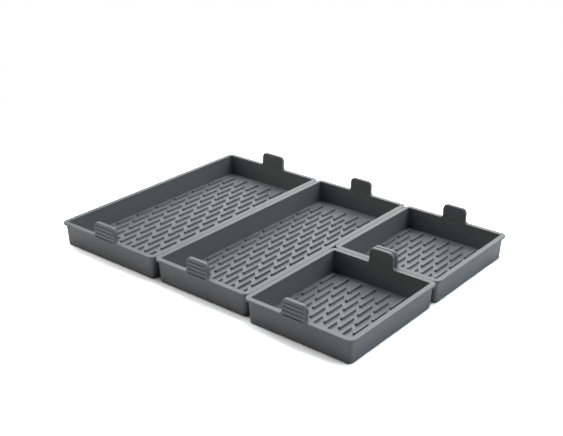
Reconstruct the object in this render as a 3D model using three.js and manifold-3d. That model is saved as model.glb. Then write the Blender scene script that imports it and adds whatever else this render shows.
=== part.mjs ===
// A set of four silicone trays that divide a half-sheet baking pan into compartments.
// Two long trays and two short ones stand side by side. Each is one moulding: a floor
// with raised ribs in a brick pattern, four drafted walls, an overhanging rim, and a
// grip tab at the middle of each end wall that flexes on its root.
// Millimetres, +X across the set, +Y from its front to its back, +Z up. The origin is
// on the surface that the trays stand on, under the middle of the set.

import * as THREE from 'three';
import { mergeVertices } from 'three/addons/utils/BufferGeometryUtils.js';
import Module from 'manifold-3d';

// Trays, measured over their rims.
const WIDE_TRAY_WIDTH = 152.5;
const LONG_TRAY_WIDTH = 133.3;
const SMALL_TRAY_WIDTH = 134.5;
const LONG_TRAY_LENGTH = 297.6;
const SMALL_TRAY_LENGTH = 151.6;
const TRAY_HEIGHT = 28.6;

// How the trays stand in the row: set down by hand, a little off each other.
const RIM_GAP = 0.3;
const SMALL_TRAY_GAP = 0.3;
const LONG_TRAY_BACKSET = 1.4;
const SMALL_TRAYS_FORWARD = 4.1;

// Walls and rim.
const WALL = 3.0;
const RIM_WIDTH = 5.9;
const RIM_DEPTH = 2.8;
const RIM_CORNER_RADIUS = 7.5;
const RIM_EDGE_RADIUS = 0.3;
const RIM_LOWER_EDGE = 0.3;
const RIM_INNER_EDGE = 0.3;
const WALL_DRAFT = 1.2;
const BASE_EDGE_RADIUS = 0.8;

// Floor and its ribs.
const FLOOR = 2.7;
const FLOOR_FILLET = 0.8;
const RIB_HEIGHT = 2.6;
const RIB_LENGTH = 25.0;
const RIB_BASE_WIDTH = 2.8;
const RIB_TOP_WIDTH = 2.3;
const RIB_END_SLOPE = 0.3;
const RIB_ROW_PITCH = 32.7;
const RIB_EDGE_MARGIN = 2.5;
const WIDE_RIB_PITCH = 10.22;
const RIB_PITCH = 8.96;
const WIDE_RIB_SHIFT = [-1.6, 3.5];

// Grip tabs, and how far the front and the back one stand off the middle of their walls.
const WIDE_TAB_WIDTH = 34.6;
const TAB_WIDTH = 30.2;
const TAB_HEIGHT = 17.4;
const WIDE_TAB_SHIFTS = [0.5, 2.1];
const LONG_TAB_SHIFTS = [-1.8, 0.4];
const SMALL_FRONT_TAB_SHIFTS = [-2.8, -0.6];
const SMALL_BACK_TAB_SHIFTS = [-0.6, -0.6];
const TAB_TOP_THICKNESS = 5.2;
const TAB_SETBACK = 0.9;
const TAB_INNER_STEP = 0.4;
const TAB_LEAN_DEGREES = 3.2;
const TAB_CORNER_RADIUS = 6.0;
const TAB_FLARE = 3.0;
const TAB_ROOT_RADIUS = 2.0;
const TAB_ROOT_CLEARANCE = 0.3;
const TAB_SHOULDER_DEGREES = 24;
const TAB_BORDER = 2.3;
const GRIP_RECESS = 0.5;
const GRIP_DEPTH = 0.5;
const GRIP_GROOVES = 3;
const GRIP_GROOVE = 1.1;
const GRIP_PITCH = 4.55;
const GRIP_FIRST = 4.1;

const CORNER_STEPS = 4;
const ROOT_STEPS = 8;
const OVERSHOOT = 1.0;
const RIB_BURIED = 0.5;

const silicone = new THREE.MeshStandardMaterial({ color: 0x4b4e52, roughness: 0.55, metalness: 0 });
const tabSilicone = new THREE.MeshStandardMaterial({ color: 0x585b5f, roughness: 0.55, metalness: 0 });

const wasm = await Module();
wasm.setup();

// A closed three.js geometry as a solid that can be joined and cut.
function toSolid(geometry) {
  const bare = geometry.clone();
  bare.deleteAttribute('normal');
  bare.deleteAttribute('uv');
  const merged = mergeVertices(bare, 1e-4);
  return new wasm.Manifold(new wasm.Mesh({
    numProp: 3,
    vertProperties: new Float32Array(merged.attributes.position.array),
    triVerts: new Uint32Array(merged.index.array),
  }));
}

function toGeometry(solid) {
  const mesh = solid.getMesh();
  const geometry = new THREE.BufferGeometry();
  geometry.setAttribute('position', new THREE.BufferAttribute(new Float32Array(mesh.vertProperties), 3));
  geometry.setIndex(new THREE.BufferAttribute(new Uint32Array(mesh.triVerts), 1));
  geometry.computeVertexNormals();
  return geometry;
}

// One horizontal outline: a rectangle with round corners, set in from the rim's edge.
function roundedOutline(width, length, inset, z) {
  const radius = Math.max(RIM_CORNER_RADIUS - inset, RIM_LOWER_EDGE);
  const halfX = width / 2 - inset - radius;
  const halfY = length / 2 - inset - radius;
  const centres = [[halfX, -halfY], [halfX, halfY], [-halfX, halfY], [-halfX, -halfY]];
  const points = [];
  centres.forEach(([x, y], corner) => {
    for (let step = 0; step <= CORNER_STEPS; step += 1) {
      const angle = (corner - 1 + step / CORNER_STEPS) * Math.PI / 2;
      points.push([x + radius * Math.cos(angle), y + radius * Math.sin(angle), z]);
    }
  });
  return points;
}

// The skin through a stack of outlines, closed at its first and last.
function loft(outlines) {
  const count = outlines[0].length;
  const triangles = [];
  for (let k = 1; k < count - 1; k += 1) triangles.push(0, k + 1, k);
  for (let ring = 0; ring < outlines.length - 1; ring += 1) {
    const low = ring * count;
    const high = low + count;
    for (let k = 0; k < count; k += 1) {
      const next = (k + 1) % count;
      triangles.push(low + k, low + next, high + next, low + k, high + next, high + k);
    }
  }
  const last = (outlines.length - 1) * count;
  for (let k = 1; k < count - 1; k += 1) triangles.push(last, last + k, last + k + 1);
  const geometry = new THREE.BufferGeometry();
  geometry.setAttribute('position', new THREE.Float32BufferAttribute(outlines.flat(2), 3));
  geometry.setIndex(triangles);
  return geometry;
}

// The wall's section as pairs of inset from the rim's edge and height: up the outside,
// over the rim and down the inside to the floor.
function wallSection() {
  const wallTop = RIM_WIDTH - WALL;
  const base = wallTop + WALL_DRAFT;
  const inside = RIM_WIDTH + WALL_DRAFT;
  const section = [];
  for (let step = 0; step <= 2; step += 1) {
    const angle = step * Math.PI / 4;
    section.push([
      base + BASE_EDGE_RADIUS * (1 - Math.sin(angle)),
      BASE_EDGE_RADIUS * (1 - Math.cos(angle)),
    ]);
  }
  section.push([wallTop, TRAY_HEIGHT - RIM_DEPTH]);
  section.push([RIM_LOWER_EDGE, TRAY_HEIGHT - RIM_DEPTH]);
  section.push([0, TRAY_HEIGHT - RIM_DEPTH + RIM_LOWER_EDGE]);
  for (let step = 0; step <= 3; step += 1) {
    const angle = step * Math.PI / 6;
    section.push([
      RIM_EDGE_RADIUS * (1 - Math.cos(angle)),
      TRAY_HEIGHT - RIM_EDGE_RADIUS * (1 - Math.sin(angle)),
    ]);
  }
  section.push([RIM_WIDTH - RIM_INNER_EDGE, TRAY_HEIGHT]);
  section.push([RIM_WIDTH, TRAY_HEIGHT - RIM_INNER_EDGE]);
  section.push([inside, FLOOR + FLOOR_FILLET]);
  section.push([inside + FLOOR_FILLET, FLOOR]);
  return section;
}

// One straight rib: a bar along Y with sloping sides and ends, sunk a little into the floor.
function ribGeometry() {
  const outline = (width, length, z) => [
    [width / 2, -length / 2, z], [width / 2, length / 2, z],
    [-width / 2, length / 2, z], [-width / 2, -length / 2, z],
  ];
  return loft([
    outline(RIB_BASE_WIDTH, RIB_LENGTH, FLOOR - RIB_BURIED),
    outline(RIB_BASE_WIDTH, RIB_LENGTH, FLOOR),
    outline(RIB_TOP_WIDTH, RIB_LENGTH - 2 * RIB_END_SLOPE, FLOOR + RIB_HEIGHT),
  ]);
}

// The ribs' middles: columns across the tray, every other one moved by half a pitch.
// The columns that hold one rib more are the odd ones in a long tray, the even in a small.
function ribPlaces(tray) {
  const clearEdge = 2 * (RIM_WIDTH + WALL_DRAFT + RIB_EDGE_MARGIN);
  const room = tray.width - clearEdge - RIB_BASE_WIDTH;
  const sideColumns = Math.floor(room / 2 / tray.ribPitch);
  const fullRows = Math.floor((tray.length - clearEdge - RIB_LENGTH) / RIB_ROW_PITCH) + 1;
  const [shiftX, shiftY] = tray.ribShift ?? [0, 0];
  const places = [];
  for (let column = -sideColumns; column <= sideColumns; column += 1) {
    const isFull = Math.abs(column) % 2 === tray.fullColumns;
    const rows = isFull ? fullRows : fullRows - 1;
    for (let row = 0; row < rows; row += 1) {
      places.push([
        column * tray.ribPitch + shiftX,
        (row - (rows - 1) / 2) * RIB_ROW_PITCH + shiftY,
      ]);
    }
  }
  return places;
}

function ribbing(tray) {
  const rib = toSolid(ribGeometry());
  const ribs = ribPlaces(tray).map(([x, y]) => rib.translate([x, y, 0]));
  return wasm.Manifold.compose(ribs);
}

// The trough along an end wall's rim that the tab's rounded root lies in.
function rootTrough(tray, facing, shift) {
  const radius = TAB_ROOT_RADIUS + TAB_ROOT_CLEARANCE;
  const length = tray.tabWidth + 2 * (TAB_FLARE + TAB_ROOT_CLEARANCE);
  const trough = new THREE.CylinderGeometry(radius, radius, length, 2 * ROOT_STEPS);
  trough.rotateZ(Math.PI / 2);
  trough.translate(shift, facing * rootDistance(tray), TRAY_HEIGHT);
  return toSolid(trough);
}

// From the tray's middle to a tab's root axis.
function rootDistance(tray) {
  return tray.length / 2 - TAB_SETBACK - TAB_ROOT_RADIUS;
}

function trayGeometry(tray) {
  const outlines = wallSection().map(([inset, z]) => roundedOutline(tray.width, tray.length, inset, z));
  const shell = toSolid(loft(outlines));
  const [frontShift, backShift] = tray.tabShifts;
  return toGeometry(shell.add(ribbing(tray))
    .subtract(rootTrough(tray, -1, frontShift))
    .subtract(rootTrough(tray, 1, backShift)));
}

// The tab seen from its outer side, x across and y up from the root axis. A border of
// zero is the tab's own edge, and a larger one the edge of the grip field inside it.
function tabOutline(width, border) {
  const half = width / 2 - border;
  const top = TAB_HEIGHT - border;
  const corner = Math.max(TAB_CORNER_RADIUS - border, RIM_LOWER_EDGE);
  const flare = border > 0 ? 0 : TAB_FLARE;
  const bottom = border > 0 ? GRIP_GROOVE : -TAB_ROOT_RADIUS - OVERSHOOT;
  const outline = new THREE.Shape();
  outline.moveTo(-half - flare, bottom);
  outline.lineTo(half + flare, bottom);
  if (flare > 0) {
    outline.lineTo(half + flare, 0);
    outline.absarc(half + flare, flare, flare, -Math.PI / 2, -Math.PI, true);
  }
  outline.absarc(half - corner, top - corner, corner, 0, Math.PI / 2, false);
  outline.absarc(-half + corner, top - corner, corner, Math.PI / 2, Math.PI, false);
  if (flare > 0) outline.absarc(-half - flare, flare, flare, 0, -Math.PI / 2, true);
  return outline;
}

// The tab's section across its thickness, x outward-to-inward and y up from the root
// axis: a round root, an outer face that leans out, and an inner face that comes down
// a small step outside the tray's inner wall and then turns in to the root.
function tabSection() {
  const lean = TAB_HEIGHT * Math.tan(TAB_LEAN_DEGREES * Math.PI / 180);
  const shoulder = Math.tan(TAB_SHOULDER_DEGREES * Math.PI / 180);
  const inner = RIM_WIDTH - TAB_INNER_STEP - TAB_SETBACK - TAB_ROOT_RADIUS;
  const section = new THREE.Shape();
  section.moveTo(-TAB_ROOT_RADIUS, 0);
  section.absarc(0, 0, TAB_ROOT_RADIUS, Math.PI, 2 * Math.PI, false);
  section.lineTo(TAB_ROOT_RADIUS, TAB_ROOT_RADIUS * shoulder);
  section.lineTo(inner, inner * shoulder);
  section.lineTo(TAB_TOP_THICKNESS - TAB_ROOT_RADIUS - lean, TAB_HEIGHT);
  section.lineTo(-TAB_ROOT_RADIUS - lean, TAB_HEIGHT);
  return section;
}

// An outline in the XZ plane as a slab from y = front to y = back.
function slab(outline, front, back) {
  const geometry = new THREE.ExtrudeGeometry(outline, {
    depth: back - front, bevelEnabled: false, curveSegments: CORNER_STEPS,
  });
  geometry.rotateX(Math.PI / 2);
  geometry.translate(0, back, 0);
  return geometry;
}

// A tab with its outer side towards -Y and its root axis along X through the origin.
function tabGeometry(width) {
  const span = width + 2 * TAB_FLARE;
  const bar = new THREE.ExtrudeGeometry(tabSection(), {
    depth: span, bevelEnabled: false, curveSegments: ROOT_STEPS,
  });
  bar.rotateX(Math.PI / 2);
  bar.rotateZ(Math.PI / 2);
  bar.translate(-span / 2, 0, 0);
  const reach = RIM_WIDTH + OVERSHOOT;
  const plate = toSolid(bar).intersect(toSolid(slab(tabOutline(width, 0), -reach, reach)));
  return toGeometry(plate.subtract(gripField(width)));
}

// The grip field, which is sunk into the leaning outer face: a shallow recess inside the
// tab's border, and deeper grooves across it.
function gripField(width) {
  const face = -TAB_ROOT_RADIUS;
  const recess = slab(tabOutline(width, TAB_BORDER), face - OVERSHOOT, face + GRIP_RECESS);
  const parts = [recess];
  for (let index = 0; index < GRIP_GROOVES; index += 1) {
    const depth = OVERSHOOT + GRIP_RECESS + GRIP_DEPTH;
    const groove = new THREE.BoxGeometry(width - 2 * TAB_BORDER, depth, GRIP_GROOVE);
    const height = TAB_HEIGHT - GRIP_FIRST - index * GRIP_PITCH;
    groove.translate(0, face - OVERSHOOT + depth / 2, height);
    parts.push(groove);
  }
  const lean = TAB_LEAN_DEGREES * Math.PI / 180;
  return wasm.Manifold.union(parts.map((part) => {
    part.translate(0, -face, 0);
    part.rotateX(lean);
    part.translate(0, face, 0);
    return toSolid(part);
  }));
}

// One tray with its two tabs, standing with its middle at x, y.
function makeTray(tray) {
  const group = new THREE.Group();
  const body = new THREE.Mesh(trayGeometry(tray), silicone);
  body.name = tray.name;
  group.add(body);
  [['front', -1], ['back', 1]].forEach(([end, facing], index) => {
    const tab = new THREE.Mesh(tabGeometry(tray.tabWidth), tabSilicone);
    tab.name = `${tray.name}_${end}_tab`;
    tab.position.set(tray.tabShifts[index], facing * rootDistance(tray), TRAY_HEIGHT);
    tab.rotation.z = facing > 0 ? Math.PI : 0;
    group.add(tab);
  });
  group.position.set(tray.x, tray.y, 0);
  return group;
}

// The row, measured from the wide tray's front left corner.
const longLeft = WIDE_TRAY_WIDTH + RIM_GAP;
const smallLeft = longLeft + LONG_TRAY_WIDTH + RIM_GAP;
const smallBackFront = SMALL_TRAY_LENGTH - SMALL_TRAYS_FORWARD + SMALL_TRAY_GAP;
const setWidth = smallLeft + SMALL_TRAY_WIDTH;
const setFront = Math.min(0, LONG_TRAY_BACKSET, -SMALL_TRAYS_FORWARD);
const setBack = Math.max(LONG_TRAY_LENGTH, LONG_TRAY_LENGTH + LONG_TRAY_BACKSET,
  smallBackFront + SMALL_TRAY_LENGTH);

const longTray = { length: LONG_TRAY_LENGTH, fullColumns: 1 };
const smallTray = {
  length: SMALL_TRAY_LENGTH, width: SMALL_TRAY_WIDTH, left: smallLeft,
  ribPitch: RIB_PITCH, tabWidth: TAB_WIDTH, fullColumns: 0,
};
const trays = [
  {
    ...longTray, name: 'wide_long_tray', width: WIDE_TRAY_WIDTH, left: 0, front: 0,
    ribPitch: WIDE_RIB_PITCH, ribShift: WIDE_RIB_SHIFT,
    tabWidth: WIDE_TAB_WIDTH, tabShifts: WIDE_TAB_SHIFTS,
  },
  {
    ...longTray, name: 'long_tray', width: LONG_TRAY_WIDTH, left: longLeft, front: LONG_TRAY_BACKSET,
    ribPitch: RIB_PITCH, tabWidth: TAB_WIDTH, tabShifts: LONG_TAB_SHIFTS,
  },
  {
    ...smallTray, name: 'small_front_tray', front: -SMALL_TRAYS_FORWARD,
    tabShifts: SMALL_FRONT_TAB_SHIFTS,
  },
  {
    ...smallTray, name: 'small_back_tray', front: smallBackFront,
    tabShifts: SMALL_BACK_TAB_SHIFTS,
  },
];

const set = new THREE.Group();
trays.forEach((tray) => {
  const x = tray.left + tray.width / 2 - setWidth / 2;
  const y = tray.front + tray.length / 2 - (setFront + setBack) / 2;
  set.add(makeTray({ ...tray, x, y }));
});

export default set;
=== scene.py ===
"""The looks of a set of four silicone trays that divide a half-sheet baking pan.

Two long trays and two short ones stand side by side. Each is one satin silicone
moulding: a floor with ribs in a brick pattern, drafted walls, an overhanging rim, and a
grip tab at the middle of each end wall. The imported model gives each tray's place and
size, and this script models the mouldings, dresses them and lights them.

Metres, +X across the set, +Y from its front to its back, +Z up.
"""

import logging
import math
from collections.abc import Callable, Iterable, Sequence
from dataclasses import dataclass, field
from enum import Enum

import bmesh
import bpy
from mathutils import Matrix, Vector


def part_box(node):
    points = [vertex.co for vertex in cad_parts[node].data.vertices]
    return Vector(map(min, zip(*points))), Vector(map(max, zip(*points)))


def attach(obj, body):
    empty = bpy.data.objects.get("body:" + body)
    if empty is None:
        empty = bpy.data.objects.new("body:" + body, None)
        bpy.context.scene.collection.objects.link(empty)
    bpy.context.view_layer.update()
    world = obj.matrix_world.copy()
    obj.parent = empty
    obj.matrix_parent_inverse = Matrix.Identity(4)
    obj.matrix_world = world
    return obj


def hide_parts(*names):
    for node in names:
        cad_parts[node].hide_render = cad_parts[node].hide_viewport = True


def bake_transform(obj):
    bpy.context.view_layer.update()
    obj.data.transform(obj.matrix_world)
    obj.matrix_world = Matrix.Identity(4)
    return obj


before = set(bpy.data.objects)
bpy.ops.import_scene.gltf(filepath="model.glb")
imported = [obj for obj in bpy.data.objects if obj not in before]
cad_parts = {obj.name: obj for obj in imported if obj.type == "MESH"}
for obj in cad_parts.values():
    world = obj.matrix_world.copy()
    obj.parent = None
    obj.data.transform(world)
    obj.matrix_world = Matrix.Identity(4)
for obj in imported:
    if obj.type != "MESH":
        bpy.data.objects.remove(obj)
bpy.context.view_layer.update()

MM = 0.001
# Places closer than this count as one, and corners closer than this are welded.
NEAR = 0.05 * MM
WELD = 0.005 * MM
# The least share of a unit vector along an axis that counts as lying along it.
ALONG = 0.9
# The steepest edge that is shaded smoothly, in degrees, and the neutral weight of a face.
STEEPEST_SMOOTH = 50.0
NEUTRAL_WEIGHT = 50

log = logging.getLogger("tray_set")

Triple = Sequence[float]
PlaceTest = Callable[[Vector, Vector], bool]

UP = Vector((0, 0, 1))
DOWN = Vector((0, 0, -1))
INWARD = Vector((0, 1, 0))
OUTWARD = Vector((0, -1, 0))


class Facing(Enum):
    """The end of a tray that a grip tab stands on, with the tab's turn about Z."""

    FRONT = 0.0
    BACK = math.pi


class Columns(Enum):
    """Every other column of ribs: those an even or an odd number of steps from the middle."""

    EVEN = 0
    ODD = 1


class Element(Enum):
    """What can be selected on a mesh."""

    CORNER = "VERT"
    EDGE = "EDGE"
    FACE = "FACE"


class Merge(Enum):
    """How a second piece changes a first."""

    JOIN = "UNION"
    CUT = "DIFFERENCE"


@dataclass(frozen=True)
class Rounding:
    """A rounded edge: its radius and the facets that it is made of."""

    radius: float
    facets: int


class Bench:
    """A mesh being modelled: a block that edit-mode operators shape."""

    def __init__(self, name: str, low: Triple, high: Triple) -> None:
        """Starts the piece as a block.

        Args:
            name: The object's name.
            low: The block's lowest corner.
            high: The block's highest corner.
        """
        bpy.ops.object.select_all(action="DESELECT")
        size = Vector(high) - Vector(low)
        centre = (Vector(high) + Vector(low)) / 2
        bpy.ops.mesh.primitive_cube_add(size=1.0, location=centre, scale=size)
        self.piece = bpy.context.active_object
        self.piece.name = name
        self.piece.data.name = name
        bpy.ops.object.transform_apply(location=True, rotation=True, scale=True)
        bpy.ops.object.mode_set(mode="EDIT")

    @classmethod
    def on(cls, piece: bpy.types.Object) -> "Bench":
        """Takes a finished piece up again.

        Args:
            piece: The piece.

        Returns:
            A bench with the piece on it.
        """
        bench = cls.__new__(cls)
        bench.piece = piece
        make_active(piece)
        bpy.ops.object.mode_set(mode="EDIT")
        return bench

    def _pick(self, kind: Element, wanted: Callable[[bmesh.types.BMesh], Iterable]) -> "Bench":
        """Selects elements of one kind.

        Args:
            kind: What is selected.
            wanted: Gives the elements to select.

        Returns:
            This bench.

        Raises:
            ValueError: If there is nothing to select.
        """
        bpy.ops.mesh.select_mode(type=kind.value)
        bpy.ops.mesh.select_all(action="DESELECT")
        mesh = bmesh.from_edit_mesh(self.piece.data)
        picked = list(wanted(mesh))
        for element in picked:
            element.select_set(True)
        bmesh.update_edit_mesh(self.piece.data)
        if not picked:
            raise ValueError(f"{self.piece.name}: no {kind.name.lower()} stands where one was expected")
        return self

    def faces(self, test: PlaceTest) -> "Bench":
        """Selects the faces whose middle and normal pass a test.

        Args:
            test: Is given a face's middle and normal.

        Returns:
            This bench.
        """
        return self._pick(Element.FACE, lambda mesh: [
            face for face in mesh.faces if test(face.calc_center_median(), face.normal)
        ])

    def facing(self, direction: Vector) -> "Bench":
        """Selects the faces that point one way."""
        return self.faces(lambda at, normal: normal.dot(direction) > ALONG)

    def edges(self, test: PlaceTest) -> "Bench":
        """Selects the edges whose middle and direction pass a test.

        Args:
            test: Is given an edge's middle and direction.

        Returns:
            This bench.
        """
        return self._pick(Element.EDGE, lambda mesh: [
            edge for edge in mesh.edges
            if test(
                (edge.verts[0].co + edge.verts[1].co) / 2,
                (edge.verts[1].co - edge.verts[0].co).normalized(),
            )
        ])

    def bevel(self, edge: Rounding) -> "Bench":
        """Rounds the selected edges.

        Args:
            edge: The radius and facets that they get.

        Returns:
            This bench.
        """
        bpy.ops.mesh.bevel(
            offset_type="OFFSET", offset=edge.radius, segments=edge.facets,
            affect="EDGES", clamp_overlap=False,
        )
        return self

    def inset(self, width: float, rise: float = 0.0) -> "Bench":
        """Draws the selected faces' outline inwards and raises what is inside it."""
        bpy.ops.mesh.inset(thickness=width, depth=rise, use_even_offset=True)
        return self

    def round_over(self, edge: Rounding) -> "Bench":
        """Rounds the outline of the selected flat faces over to them, and raises them by its radius.

        Args:
            edge: The rounding along the outline.

        Returns:
            This bench.
        """
        bpy.ops.mesh.dissolve_faces()
        angles = [math.pi / 2 * step / edge.facets for step in range(edge.facets + 1)]
        for low, high in zip(angles, angles[1:]):
            self.inset(
                edge.radius * (math.cos(low) - math.cos(high)),
                edge.radius * (math.sin(high) - math.sin(low)),
            )
        return self

    def extrude(self, offset: Triple) -> "Bench":
        """Draws the selected faces out by an offset, and keeps the moved ones selected."""
        bpy.ops.mesh.extrude_region_move(TRANSFORM_OT_translate={"value": offset})
        return self

    def resize(self, factors: Triple, centre: Triple) -> "Bench":
        """Scales what is selected about a point."""
        bpy.ops.transform.resize(value=factors, center_override=centre)
        return self

    def cut(self, point: Triple, normal: Triple, keep_above: bool = False) -> "Bench":
        """Divides every face that a plane crosses.

        Args:
            point: A point on the plane.
            normal: The plane's normal.
            keep_above: Whether what lies behind the plane is cut off and the piece closed there.

        Returns:
            This bench.
        """
        bpy.ops.mesh.select_mode(type=Element.FACE.value)
        bpy.ops.mesh.select_all(action="SELECT")
        bpy.ops.mesh.bisect(plane_co=point, plane_no=normal, use_fill=keep_above, clear_inner=keep_above)
        return self

    def done(self) -> bpy.types.Object:
        """Welds doubles, turns all faces outwards and takes the piece off the bench.

        Returns:
            The piece.
        """
        bpy.ops.mesh.select_mode(type=Element.CORNER.value)
        bpy.ops.mesh.select_all(action="SELECT")
        bpy.ops.mesh.remove_doubles(threshold=WELD)
        bpy.ops.mesh.normals_make_consistent(inside=False)
        bpy.ops.object.mode_set(mode="OBJECT")
        return self.piece


def make_active(piece: bpy.types.Object) -> None:
    """Selects one piece alone, for the operators that act on the selection.

    Args:
        piece: The piece.
    """
    bpy.ops.object.select_all(action="DESELECT")
    piece.select_set(True)
    bpy.context.view_layer.objects.active = piece


def apply_modifier(piece: bpy.types.Object, kind: str, settings: dict[str, object]) -> None:
    """Adds a modifier to a piece and applies it.

    Args:
        piece: The mesh that it changes.
        kind: The modifier's type.
        settings: Its settings by name.
    """
    make_active(piece)
    modifier = piece.modifiers.new(kind.lower(), kind)
    for setting, value in settings.items():
        setattr(modifier, setting, value)
    bpy.ops.object.modifier_apply(modifier=modifier.name)


def copy_of(piece: bpy.types.Object, name: str, place: Triple, turn: float = 0.0) -> bpy.types.Object:
    """Copies a piece with a mesh of its own.

    Args:
        piece: The piece to copy.
        name: The copy's name.
        place: How far the copy is moved.
        turn: The copy's turn about Z.

    Returns:
        The copy, with its place in its mesh.
    """
    make_active(piece)
    bpy.ops.object.duplicate(linked=False)
    copy = bpy.context.active_object
    copy.name = name
    copy.data.name = name
    copy.location = place
    copy.rotation_euler.z = turn
    bpy.ops.object.transform_apply(location=True, rotation=True, scale=True)
    return copy


def remove(piece: bpy.types.Object) -> None:
    """Deletes a piece that was only needed while modelling."""
    make_active(piece)
    bpy.ops.object.delete()


def repeat(piece: bpy.types.Object, count: int, step: Triple) -> None:
    """Repeats a piece at even steps.

    Args:
        piece: The piece, which becomes the whole row.
        count: How many there are in the row.
        step: From each to the next.
    """
    apply_modifier(piece, "ARRAY", {
        "count": count, "use_relative_offset": False,
        "use_constant_offset": True, "constant_offset_displace": step,
    })


def combine(piece: bpy.types.Object, tool: bpy.types.Object, merge: Merge) -> None:
    """Joins a tool to a piece or cuts it out of it, and deletes the tool.

    Args:
        piece: The piece that is changed.
        tool: What is joined or cut out.
        merge: Which of the two.
    """
    apply_modifier(piece, "BOOLEAN", {"operation": merge.value, "solver": "MANIFOLD", "object": tool})
    remove(tool)


def smooth(piece: bpy.types.Object) -> None:
    """Shades a piece smoothly across shallow edges, with its flat faces left flat.

    Args:
        piece: The mesh to shade.
    """
    make_active(piece)
    bpy.ops.object.shade_smooth_by_angle(angle=math.radians(STEEPEST_SMOOTH))
    apply_modifier(piece, "WEIGHTED_NORMAL", {"keep_sharp": True, "weight": NEUTRAL_WEIGHT})


def dress(piece: bpy.types.Object, finish: bpy.types.Material, node: str) -> None:
    """Gives a modelled piece its finish and hides the CAD node that it stands for.

    Args:
        piece: The piece.
        finish: Its only material.
        node: The CAD node that it replaces.
    """
    piece.data.materials.clear()
    piece.data.materials.append(finish)
    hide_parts(node)


@dataclass(frozen=True)
class Wire:
    """A socket of a shader tree that takes part in arithmetic."""

    shader: "Shader"
    socket: bpy.types.NodeSocket

    def _math(self, operation: str, first: object, second: object) -> "Wire":
        """Adds a Math node for one operation."""
        return self.shader.node("ShaderNodeMath", {"operation": operation}, {0: first, 1: second})

    def __add__(self, other: object) -> "Wire":
        """This value plus another."""
        return self._math("ADD", self, other)

    def __sub__(self, other: object) -> "Wire":
        """This value less another."""
        return self._math("SUBTRACT", self, other)

    def __mul__(self, other: object) -> "Wire":
        """This value times another."""
        return self._math("MULTIPLY", self, other)

    __radd__ = __add__


class Shader:
    """A node tree that is written as calls and arithmetic."""

    def __init__(self, tree: bpy.types.NodeTree) -> None:
        """Starts from an empty tree."""
        self.tree = tree
        tree.nodes.clear()

    def node(
        self, kind: str, settings: dict | None = None, sockets: dict | None = None,
        output: int | str = 0,
    ) -> Wire | None:
        """Adds a node.

        Args:
            kind: The node's type.
            settings: Its own settings, set first.
            sockets: Values or wires for its inputs, by name or number.
            output: The output that is returned.

        Returns:
            One output of the node, or None if it has none.
        """
        made = self.tree.nodes.new(kind)
        for setting, value in (settings or {}).items():
            setattr(made, setting, value)
        for name, value in (sockets or {}).items():
            if isinstance(value, Wire):
                self.tree.links.new(value.socket, made.inputs[name])
            else:
                made.inputs[name].default_value = value
        return Wire(self, made.outputs[output]) if made.outputs else None


def grey(value: float) -> tuple[float, float, float, float]:
    """A grey as a colour socket takes it."""
    return (value, value, value, 1.0)


@dataclass(frozen=True)
class MouldedSilicone:
    """The satin finish of a silicone moulding."""

    name: str = "grey_silicone"
    colour: tuple[float, float, float] = (0.178, 0.187, 0.193)
    colour_drift: float = 0.12
    drift_size: float = 60 * MM
    speckle: float = 0.12
    speckle_size: float = 0.9 * MM
    roughness: float = 0.46
    roughness_drift: float = 0.10
    grain_size: float = 0.45 * MM
    grain_height: float = 0.012 * MM
    specular: float = 0.42
    sheen: float = 0.05
    sheen_roughness: float = 0.5
    noise_detail: float = 3.0
    noise_mean: float = 0.5

    def material(self) -> bpy.types.Material:
        """Makes the material.

        Returns:
            A material whose colour and gloss drift over the moulding, with the fine
            grain that the mould leaves on silicone.
        """
        material = bpy.data.materials.new(self.name)
        material.use_nodes = True
        shader = Shader(material.node_tree)
        place = shader.node("ShaderNodeTexCoord", output="Object")
        drift = self._noise(shader, place, self.drift_size)
        speckle = self._noise(shader, place, self.speckle_size)
        grain = self._noise(shader, place, self.grain_size)
        shade = 1 + drift * self.colour_drift + speckle * self.speckle
        tint = shader.node("ShaderNodeVectorMath", {"operation": "SCALE"}, {
            0: self.colour, "Scale": shade,
        })
        gloss = self.roughness + (speckle + drift) * self.roughness_drift
        relief = shader.node("ShaderNodeBump", None, {"Distance": self.grain_height, "Height": grain})
        surface = shader.node("ShaderNodeBsdfPrincipled", None, {
            "Base Color": tint, "Roughness": gloss, "Normal": relief,
            "Specular IOR Level": self.specular,
            "Sheen Weight": self.sheen, "Sheen Roughness": self.sheen_roughness,
        })
        shader.node("ShaderNodeOutputMaterial", None, {"Surface": surface})
        return material

    def _noise(self, shader: Shader, place: Wire, size: float) -> Wire:
        """Adds a noise that swings evenly about 0.

        Args:
            shader: The tree that it is added to.
            place: Where on the moulding it is read.
            size: How large its blotches are.

        Returns:
            The noise, between about -0.5 and 0.5.
        """
        noise = shader.node("ShaderNodeTexNoise", None, {
            "Vector": place, "Scale": 1 / size, "Detail": self.noise_detail,
        })
        return noise - self.noise_mean


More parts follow.
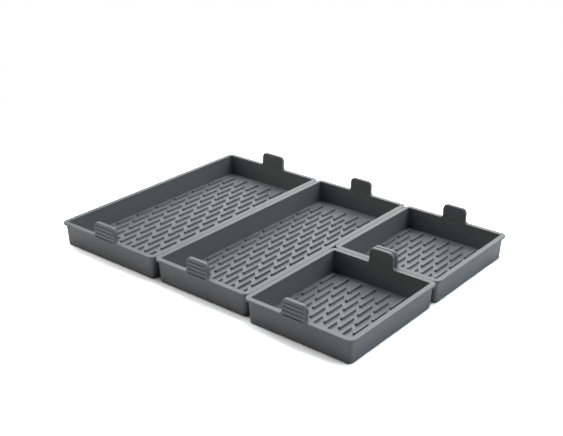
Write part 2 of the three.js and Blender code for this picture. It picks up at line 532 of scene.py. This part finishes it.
@dataclass
class Ribbing:
    """The floor's ribs: columns across a tray, every other one moved by half a pitch.

    The full columns hold one rib more than those between them.
    """

    column_pitch: float
    full_columns: Columns
    shift: tuple[float, float] = (0.0, 0.0)
    length: float = 25.0 * MM
    height: float = 2.6 * MM
    base_width: float = 2.8 * MM
    top_width: float = 2.3 * MM
    end_slope: float = 0.3 * MM
    corner: Rounding = Rounding(0.6 * MM, 2)
    top_edge: Rounding = Rounding(0.25 * MM, 2)
    foot: float = 0.2 * MM
    buried: float = 0.5 * MM
    row_pitch: float = 32.7 * MM
    edge_margin: float = 2.5 * MM

    def _rib(self, floor: float) -> bpy.types.Object:
        """Models one rib over the origin, sunk a little into the floor.

        Args:
            floor: The floor's height.

        Returns:
            The rib.
        """
        x, y, top = self.base_width / 2, self.length / 2, floor + self.height
        bench = Bench("ribs", (-x, -y, floor + self.foot), (x, y, top))
        taper = (self.top_width / self.base_width, 1 - 2 * self.end_slope / self.length, 1)
        bench.facing(UP).resize(taper, (0, 0, top))
        bench.edges(lambda at, along: abs(along.z) > ALONG).bevel(self.corner)
        bench.edges(lambda at, along: at.z > top - NEAR).bevel(self.top_edge)
        bench.facing(DOWN).extrude((0, 0, -self.foot))
        bench.resize((1 + self.foot / x, 1 + self.foot / y, 1), (0, 0, floor))
        bench.extrude((0, 0, -self.buried))
        return bench.done()

    def build(self, tray: "Tray") -> bpy.types.Object:
        """Lays the ribs out on a tray's floor.

        Args:
            tray: The tray that they stand in.

        Returns:
            All the tray's ribs as one mesh.
        """
        clear_edge = 2 * (tray.rim_width + tray.draft + self.edge_margin)
        room_x = tray.size.x - clear_edge - self.base_width
        room_y = tray.size.y - clear_edge - self.length
        side_columns = math.floor(room_x / 2 / self.column_pitch)
        full_rows = math.floor(room_y / self.row_pitch) + 1
        middle = tray.middle + Vector(self.shift + (0,))
        rib = self._rib(tray.floor)
        fields = []
        for columns in Columns:
            outermost = side_columns - (side_columns + columns.value) % 2
            rows = full_rows if columns is self.full_columns else full_rows - 1
            start = Vector((-outermost * self.column_pitch, -(rows - 1) / 2 * self.row_pitch, 0))
            ribs = copy_of(rib, f"ribs_{columns.name.lower()}", start + middle)
            repeat(ribs, rows, (0, self.row_pitch, 0))
            repeat(ribs, outermost + 1, (2 * self.column_pitch, 0, 0))
            fields.append(ribs)
        remove(rib)
        make_active(fields[0])
        fields[1].select_set(True)
        bpy.ops.object.join()
        return bpy.context.active_object


@dataclass
class Tray:
    """One silicone tray: floor, drafted walls and overhanging rim."""

    name: str
    ribbing: Ribbing
    tab_width: float
    wall: float = 3.0 * MM
    floor: float = 2.7 * MM
    draft: float = 1.2 * MM
    rim_width: float = 5.9 * MM
    rim_depth: float = 2.8 * MM
    corner: Rounding = Rounding(7.5 * MM, 10)
    rim_edge: Rounding = Rounding(0.3 * MM, 4)
    rim_lower_edge: Rounding = Rounding(0.3 * MM, 2)
    rim_inner_edge: Rounding = Rounding(0.25 * MM, 3)
    under_rim: Rounding = Rounding(0.3 * MM, 2)
    base_edge: Rounding = Rounding(0.8 * MM, 3)
    floor_fillet: Rounding = Rounding(0.8 * MM, 3)
    low: Vector = field(init=False)
    high: Vector = field(init=False)

    def __post_init__(self) -> None:
        """Takes the tray's place and size from the imported model."""
        self.low, self.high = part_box(self.name)

    @property
    def size(self) -> Vector:
        """The tray's size over its rim."""
        return self.high - self.low

    @property
    def middle(self) -> Vector:
        """The middle of the tray's underside."""
        return Vector(((self.low.x + self.high.x) / 2, (self.low.y + self.high.y) / 2, self.low.z))

    def tab_node(self, facing: Facing) -> str:
        """The name of the CAD node of the tab on one of its end walls."""
        return f"{self.name}_{facing.name.lower()}_tab"

    def _inset_of(self, at: Vector) -> float:
        """How far a point stands in from the rim's outer edge.

        Args:
            at: The point.

        Returns:
            Its distance to the rim's outline, seen from above.
        """
        off = at - self.middle
        x = abs(off.x) - self.size.x / 2 + self.corner.radius
        y = abs(off.y) - self.size.y / 2 + self.corner.radius
        outside = math.hypot(max(x, 0), max(y, 0))
        return self.corner.radius - outside - min(max(x, y), 0)

    def _ring(self, bench: Bench, z: float, inset: float) -> Bench:
        """Selects the edges that run round the tray at one place of its section.

        Args:
            bench: The tray being modelled.
            z: Their height.
            inset: How far they stand in from the rim's edge.

        Returns:
            The bench.
        """
        slack = self.draft / 2
        return bench.edges(lambda at, along: (
            abs(at.z - z) < NEAR and abs(self._inset_of(at) - inset) < slack
        ))

    def _shrink(self, bench: Bench, inset: float) -> None:
        """Draws the selected outline in by the walls' draft.

        Args:
            bench: The tray being modelled.
            inset: How far the outline stands in from the rim's edge.
        """
        width, length = self.size.x - 2 * inset, self.size.y - 2 * inset
        bench.resize((1 - 2 * self.draft / width, 1 - 2 * self.draft / length, 1), self.middle)

    def _shell(self) -> bpy.types.Object:
        """Models the tray without its ribs.

        Returns:
            The shell, as one closed skin.
        """
        top, under = self.high.z, self.high.z - self.rim_depth
        wall_top = self.rim_width - self.wall
        bench = Bench(self.name, (self.low.x, self.low.y, under), self.high)
        bench.edges(lambda at, along: abs(along.z) > ALONG).bevel(self.corner)
        bench.facing(DOWN).inset(wall_top).extrude((0, 0, self.low.z - under))
        self._shrink(bench, wall_top)
        bench.facing(UP).inset(self.rim_width).extrude((0, 0, self.floor - top))
        self._shrink(bench, self.rim_width)
        self._ring(bench, top, 0).bevel(self.rim_edge)
        self._ring(bench, under, 0).bevel(self.rim_lower_edge)
        self._ring(bench, top, self.rim_width).bevel(self.rim_inner_edge)
        self._ring(bench, under, wall_top).bevel(self.under_rim)
        self._ring(bench, self.low.z, wall_top + self.draft).bevel(self.base_edge)
        self._ring(bench, self.floor, self.rim_width + self.draft).bevel(self.floor_fillet)
        return bench.done()

    def build(self, tab: "GripTab", finish: bpy.types.Material) -> bpy.types.Object:
        """Models and dresses the tray.

        Args:
            tab: The pattern of its grip tabs.
            finish: The silicone.

        Returns:
            The tray, which stands for its CAD node.
        """
        tray = self._shell()
        combine(tray, self.ribbing.build(self), Merge.JOIN)
        for facing in Facing:
            combine(tray, tab.pocket(self, facing), Merge.CUT)
        tray.name = f"{self.name}_moulding"
        smooth(tray)
        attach(tray, self.name)
        dress(tray, finish, self.name)
        return tray


@dataclass
class GripTab:
    """The pattern of a grip tab, which a tray's end walls carry.

    It is modelled over the origin as a front tab: X across it, Y inwards from the rim's
    outer edge, and Z up from the rim's top. Its foot reaches down over the rim.
    """

    width: float
    height: float
    proud: float = 0.02 * MM
    sunk: float = 0.05 * MM
    inner_face: float = 5.6 * MM
    top_thickness: float = 5.4 * MM
    corner: Rounding = Rounding(6.0 * MM, 9)
    flare: Rounding = Rounding(3.0 * MM, 6)
    flare_end: float = 2.0 * MM
    foot_depth: float = 2.6 * MM
    outer_edge: Rounding = Rounding(1.6 * MM, 6)
    inner_edge: Rounding = Rounding(1.2 * MM, 5)
    border: float = 1.9 * MM
    top_border: float = 2.6 * MM
    bottom_border: float = 1.4 * MM
    recess: float = 0.45 * MM
    recess_slope: float = 0.6 * MM
    recess_corner: Rounding = Rounding(4.0 * MM, 6)
    groove: float = 1.5 * MM
    groove_foot: float = 0.9 * MM
    groove_depth: float = 0.8 * MM
    groove_pitch: float = 4.55 * MM
    first_groove: float = 3.4 * MM
    groove_margin: float = 0.05 * MM
    grooves: int = 4
    overshoot: float = 0.3 * MM
    pocket_margin: float = 0.15 * MM
    pocket_depth: float = 1.6 * MM
    bend: float = 5.0 * MM
    bend_cuts: int = 4

    def _plate(self) -> bpy.types.Object:
        """Models the tab's plate on its foot, with its flares and round edges.

        Returns:
            The plate, with a plain outer face.
        """
        half = self.width / 2
        foot = half + self.flare.radius + self.flare_end
        low = -self.foot_depth - 2 * self.outer_edge.radius
        outer = self.outer_edge.radius - self.proud
        inner = self.inner_face - self.inner_edge.radius
        top_depth = self.top_thickness - self.outer_edge.radius - self.inner_edge.radius
        bench = Bench("grip_tab", (-foot, outer, low), (foot, inner, -self.sunk))
        for x in (-half, half):
            bench.cut((x, 0, 0), (1, 0, 0))
        bench.faces(lambda at, normal: normal.z > ALONG and abs(at.x) < half / 2)
        bench.extrude((0, 0, self.height + self.sunk))
        bench.resize((1, top_depth / (inner - outer), 1), (0, outer, 0))
        bench.edges(lambda at, along: abs(along.y) > ALONG and at.z > self.height - NEAR)
        bench.bevel(self.corner)
        bench.edges(lambda at, along: (
            abs(along.y) > ALONG and abs(at.z + self.sunk) < NEAR / 2 and abs(at.x) < half + NEAR
        ))
        bench.bevel(self.flare)
        bench.facing(OUTWARD).round_over(self.outer_edge)
        bench.facing(INWARD).round_over(self.inner_edge)
        bench.cut((0, 0, -self.foot_depth), (0, 0, 1), keep_above=True)
        return bench.done()

    def _field(self) -> bpy.types.Object:
        """Models what sinks the grip field into the outer face.

        Returns:
            A slab with sloping sides.
        """
        low, high = self.bottom_border - self.foot_depth, self.height - self.top_border
        spread = self.recess_slope * self.overshoot / self.recess
        x, top = self.width / 2 - self.border + spread, high + spread
        outer, floor = -self.proud - self.overshoot, self.recess - self.proud
        bench = Bench("grip_field", (-x, outer, low), (x, floor, top))
        bench.edges(lambda at, along: abs(along.y) > ALONG and at.z > 0).bevel(self.recess_corner)
        shrink = self.recess_slope + spread
        bench.facing(INWARD).resize((1 - shrink / x, 1, 1 - shrink / (top - low)), (0, 0, low))
        return bench.done()

    def _groove_row(self) -> bpy.types.Object:
        """Models what cuts the grooves.

        Returns:
            A row of bars. Under each groove's sharp top edge the face slopes out again.
        """
        x = self.width / 2 - self.border - self.recess_slope - self.groove_margin
        top = self.height - self.first_groove
        floor = self.recess - self.proud
        mouth = self.groove + (self.groove - self.groove_foot) * self.overshoot / self.groove_depth
        bench = Bench(
            "grip_grooves",
            (-x, floor - self.overshoot, top - mouth), (x, floor + self.groove_depth, top),
        )
        bench.facing(INWARD).resize((1, 1, self.groove_foot / mouth), (0, 0, top))
        grooves = bench.done()
        repeat(grooves, self.grooves, (0, 0, -self.groove_pitch))
        return grooves

    def pocket(self, tray: "Tray", facing: Facing) -> bpy.types.Object:
        """Models what makes room in a tray's rim for the lowest part of the grip field.

        Args:
            tray: The tray that carries the tab.
            facing: The end wall that the tab stands on.

        Returns:
            A block that the tab's foot hides.
        """
        x = self.width / 2 - self.border + self.pocket_margin
        low = self.bottom_border - self.foot_depth - self.pocket_margin
        bench = Bench("pocket", (-x, -self.overshoot, low), (x, self.pocket_depth, self.overshoot))
        pattern = bench.done()
        pocket = copy_of(pattern, "tab_pocket", self._foot(tray, facing), facing.value)
        remove(pattern)
        return pocket

    @staticmethod
    def _foot(tray: "Tray", facing: Facing) -> Vector:
        """Finds where the tab stands.

        Args:
            tray: The tray that carries it.
            facing: The end wall that it stands on.

        Returns:
            The middle of its CAD node, on the outer edge of the rim's top.
        """
        low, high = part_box(tray.tab_node(facing))
        outer_edge = tray.low.y if facing is Facing.FRONT else tray.high.y
        return Vector(((low.x + high.x) / 2, outer_edge, tray.high.z))

    def model(self) -> bpy.types.Object:
        """Models the tab.

        Returns:
            The tab, with cuts across its foot where it bends.
        """
        tab = self._plate()
        combine(tab, self._field(), Merge.CUT)
        combine(tab, self._groove_row(), Merge.CUT)
        bench = Bench.on(tab)
        for index in range(self.bend_cuts):
            bench.cut((0, 0, self.bend * (index + 0.5) / self.bend_cuts), (0, 0, 1))
        bench.done()
        smooth(tab)
        return tab

    def build(
        self, pattern: bpy.types.Object, tray: Tray, facing: Facing, finish: bpy.types.Material,
    ) -> bpy.types.Object:
        """Sets a copy of the tab on a tray's end wall and dresses it.

        Args:
            pattern: The tab as modelled over the origin.
            tray: The tray that carries it.
            facing: The end wall that it stands on.
            finish: The silicone.

        Returns:
            The tab.
        """
        node = tray.tab_node(facing)
        foot = self._foot(tray, facing)
        tab = copy_of(pattern, f"{node}_moulding", foot, facing.value)
        foot + UP * self.bend
        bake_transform(tab)
        dress(tab, finish, node)
        return tab


@dataclass
class TraySet:
    """The four trays and their eight grip tabs."""

    wide_rib_pitch: float = 10.22 * MM
    wide_rib_shift: tuple[float, float] = (-1.6 * MM, 3.5 * MM)
    rib_pitch: float = 8.96 * MM
    wide_tab_width: float = 34.6 * MM
    tab_width: float = 30.2 * MM

    def trays(self) -> list[Tray]:
        """Lists the trays.

        Returns:
            The trays, from left to right and front to back.
        """
        wide_ribs = Ribbing(self.wide_rib_pitch, Columns.ODD, self.wide_rib_shift)
        long_ribs = Ribbing(self.rib_pitch, Columns.ODD)
        small_ribs = Ribbing(self.rib_pitch, Columns.EVEN)
        return [
            Tray("wide_long_tray", wide_ribs, self.wide_tab_width),
            Tray("long_tray", long_ribs, self.tab_width),
            Tray("small_front_tray", small_ribs, self.tab_width),
            Tray("small_back_tray", small_ribs, self.tab_width),
        ]

    def build(self) -> None:
        """Models and dresses every moulding, and reports each."""
        finish = MouldedSilicone().material()
        patterns: dict[float, tuple[GripTab, bpy.types.Object]] = {}
        for tray in self.trays():
            if tray.tab_width not in patterns:
                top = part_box(tray.tab_node(Facing.FRONT))[1].z
                tab = GripTab(tray.tab_width, top - tray.high.z)
                patterns[tray.tab_width] = (tab, tab.model())
            tab, pattern = patterns[tray.tab_width]
            report(tray.build(tab, finish))
            for facing in Facing:
                report(tab.build(pattern, tray, facing, finish))
        for _, pattern in patterns.values():
            remove(pattern)


def report(piece: bpy.types.Object) -> None:
    """Logs a finished piece."""
    log.info("%s: %d faces", piece.name, len(piece.data.polygons))


@dataclass(frozen=True)
class Stand:
    """A place off a point, from which a lamp or a camera faces it.

    The azimuth is measured from +X towards +Y, and both angles are in degrees.
    """

    azimuth: float
    elevation: float
    distance: float
    target: tuple[float, float, float] = (0.0, 0.0, 0.0)

    def hold(self, name: str, held: bpy.types.ID) -> bpy.types.Object:
        """Puts a lamp or a camera on the stand.

        Args:
            name: The object's name.
            held: The lamp's or camera's data. It looks along its own -Z.

        Returns:
            The object.
        """
        azimuth, elevation = math.radians(self.azimuth), math.radians(self.elevation)
        away = Vector((
            math.cos(azimuth) * math.cos(elevation),
            math.sin(azimuth) * math.cos(elevation),
            math.sin(elevation),
        ))
        holder = bpy.data.objects.new(name, held)
        bpy.context.scene.collection.objects.link(holder)
        holder.location = Vector(self.target) + away * self.distance
        holder.rotation_euler = (-away).to_track_quat("-Z", "Y").to_euler()
        return holder


@dataclass(frozen=True)
class Lamp:
    """A square soft lamp that faces the middle of the set from one side."""

    name: str
    azimuth: float
    elevation: float
    power: float
    colour: tuple[float, float, float]
    size: float = 1.4
    distance: float = 2.2

    def hang(self) -> None:
        """Hangs the lamp."""
        lamp = bpy.data.lights.new(self.name, "AREA")
        lamp.shape = "SQUARE"
        lamp.size = self.size
        lamp.energy = self.power
        lamp.color = self.colour
        Stand(self.azimuth, self.elevation, self.distance).hold(self.name, lamp)


@dataclass
class Studio:
    """The pale floor, the soft lamps, the white surround and the camera."""

    viewpoint: Stand = Stand(
        azimuth=-50.7, elevation=24.03, distance=1230.6 * MM, target=(-58.2 * MM, 73.73 * MM, 0.0),
    )
    lens: float = 62.94
    sensor_width: float = 36.0
    clip_start: float = 0.05
    clip_end: float = 50.0
    floor_size: float = 8.0
    floor_gap: float = 0.05 * MM
    floor_seen: float = 3.4
    floor_bounce: float = 0.88
    shadow_reach: tuple[float, float] = (0.45, 0.75)

    def build(self) -> None:
        """Sets up the floor, the surround, the lamps and the camera."""
        self._floor()
        self._world()
        for lamp in self.lamps():
            lamp.hang()
        self._camera()
        bpy.context.scene.view_settings.view_transform = "Standard"

    def _floor(self) -> None:
        """Lays the floor, which is white far from the object and keeps its shadow."""
        bpy.ops.object.select_all(action="DESELECT")
        bpy.ops.mesh.primitive_plane_add(size=self.floor_size, location=(0, 0, -self.floor_gap))
        floor = bpy.context.active_object
        floor.name = "studio_floor"
        material = bpy.data.materials.new("studio_floor")
        material.use_nodes = True
        shader = Shader(material.node_tree)
        place = shader.node("ShaderNodeTexCoord", output="Object")
        reach = shader.node("ShaderNodeVectorMath", {"operation": "LENGTH"}, {0: place}, output="Value")
        near, far = self.shadow_reach
        open_floor = shader.node("ShaderNodeMapRange", None, {
            "Value": reach, "From Min": near, "From Max": far,
        })
        seen = shader.node("ShaderNodeBsdfDiffuse", None, {"Color": grey(self.floor_seen)})
        white = shader.node("ShaderNodeEmission", None, {"Strength": 1.0})
        shown = shader.node("ShaderNodeMixShader", None, {0: open_floor, 1: seen, 2: white})
        bounce = shader.node("ShaderNodeBsdfDiffuse", None, {"Color": grey(self.floor_bounce)})
        camera = shader.node("ShaderNodeLightPath", output="Is Camera Ray")
        mixed = shader.node("ShaderNodeMixShader", None, {0: camera, 1: bounce, 2: shown})
        shader.node("ShaderNodeOutputMaterial", None, {"Surface": mixed})
        floor.data.materials.append(material)

    @staticmethod
    def _world() -> None:
        """Makes the surround: white to the camera and dark to the object, which the lamps light."""
        world = bpy.data.worlds.new("studio_surround")
        world.use_nodes = True
        bpy.context.scene.world = world
        shader = Shader(world.node_tree)
        camera = shader.node("ShaderNodeLightPath", output="Is Camera Ray")
        dark = shader.node("ShaderNodeBackground", None, {"Color": grey(0.0)})
        white = shader.node("ShaderNodeBackground", None, {"Color": grey(1.0)})
        shown = shader.node("ShaderNodeMixShader", None, {0: camera, 1: dark, 2: white})
        shader.node("ShaderNodeOutputWorld", None, {"Surface": shown})

    @staticmethod
    def lamps() -> list[Lamp]:
        """Lists the lamps.

        Returns:
            Three lamps round the back, one at the left and a weak one in front.
        """
        return [
            Lamp("top_lamp", azimuth=90.0, elevation=70.0, power=36.0, colour=(0.93, 0.97, 1.0)),
            Lamp("back_left_lamp", azimuth=120.0, elevation=30.0, power=21.0, colour=(1.0, 0.97, 0.92)),
            Lamp("left_lamp", azimuth=180.0, elevation=50.0, power=20.5, colour=(0.94, 0.97, 1.0)),
            Lamp("back_right_lamp", azimuth=30.0, elevation=30.0, power=17.0, colour=(0.77, 0.89, 1.0)),
            Lamp("front_lamp", azimuth=225.0, elevation=12.0, power=6.0, colour=(1.0, 0.88, 0.76), size=0.6),
        ]

    def _camera(self) -> None:
        """Sets the camera up at its viewpoint."""
        camera = bpy.data.cameras.new("camera")
        camera.lens = self.lens
        camera.sensor_width = self.sensor_width
        camera.clip_start = self.clip_start
        camera.clip_end = self.clip_end
        bpy.context.scene.camera = self.viewpoint.hold("camera", camera)


def main() -> None:
    """Builds the studio and the tray set."""
    logging.basicConfig(level=logging.INFO, format="%(name)s: %(message)s")
    Studio().build()
    TraySet().build()


if __name__ == "__main__":
    main()
